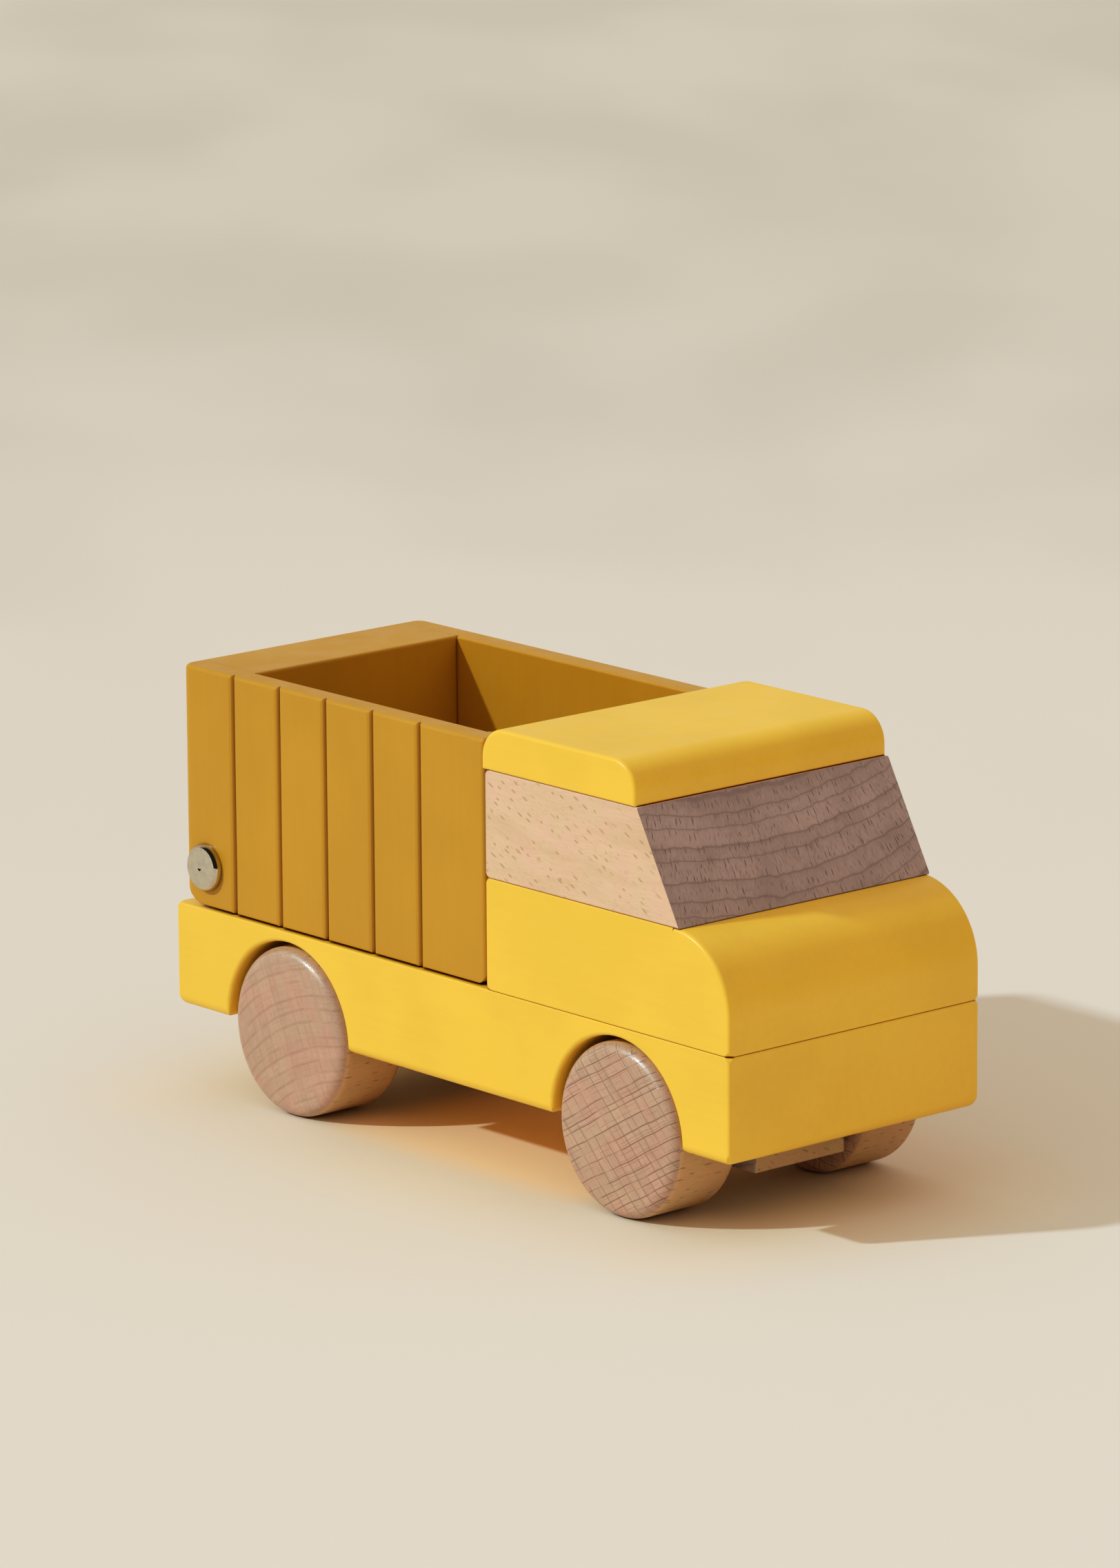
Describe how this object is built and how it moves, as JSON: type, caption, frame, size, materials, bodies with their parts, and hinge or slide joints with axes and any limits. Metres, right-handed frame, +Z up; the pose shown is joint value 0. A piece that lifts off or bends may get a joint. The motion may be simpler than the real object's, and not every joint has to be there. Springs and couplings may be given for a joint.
{
  "type": "toy dump truck",
  "caption": "Wooden toy dump truck with a stacked-block cab, solid disc wheels and a grooved open bed that tips back about a steel pin.",
  "frame": {"origin": "on the ground under the middle of the truck", "axes": "+X forward towards the cab's nose, +Y to the truck's left, +Z up"},
  "size_m": [0.19, 0.0766, 0.1034],
  "materials": {
    "yellow_paint": "satin yellow paint on beech",
    "ochre_paint": "satin ochre paint on beech",
    "beech": "clear matt oiled beech",
    "wheel_beech": "clear matt oiled beech, end grain outwards",
    "steel": "polished zinc-plated steel"
  },
  "bodies": {
    "truck": {"chassis": "yellow_paint", "front_axle_block": "beech", "rear_axle_block": "beech", "cab_hood": "yellow_paint", "cab_window_block": "beech", "cab_roof": "yellow_paint", "cab_dowels": "beech", "hinge_block": "beech", "hinge_block_dowels": "beech"},
    "bed": {"bed_side_right": "ochre_paint", "bed_side_left": "ochre_paint", "bed_front_board": "ochre_paint", "bed_rear_block": "ochre_paint", "bed_floor": "ochre_paint", "hinge_pin": "steel", "hinge_cap_right": "steel", "hinge_cap_left": "steel"},
    "front_wheels": {"front_axle": "beech", "front_axle_spacers": "beech", "wheel_front_right": "wheel_beech", "wheel_front_left": "wheel_beech"},
    "rear_wheels": {"rear_axle": "beech", "rear_axle_spacers": "beech", "wheel_rear_right": "wheel_beech", "wheel_rear_left": "wheel_beech"}
  },
  "joints": [
    {"name": "bed_tip", "type": "hinge", "parent": "truck", "child": "bed", "pos_m": [-0.085, 0, 0.0533], "axis": [0, -1, 0], "range_deg": [0, 70]},
    {"name": "front_axle_spin", "type": "hinge", "parent": "truck", "child": "front_wheels", "pos_m": [0.0582, 0, 0.0198], "axis": [0, 1, 0], "continuous": true},
    {"name": "rear_axle_spin", "type": "hinge", "parent": "truck", "child": "rear_wheels", "pos_m": [-0.055, 0, 0.0198], "axis": [0, 1, 0], "continuous": true}
  ]
}
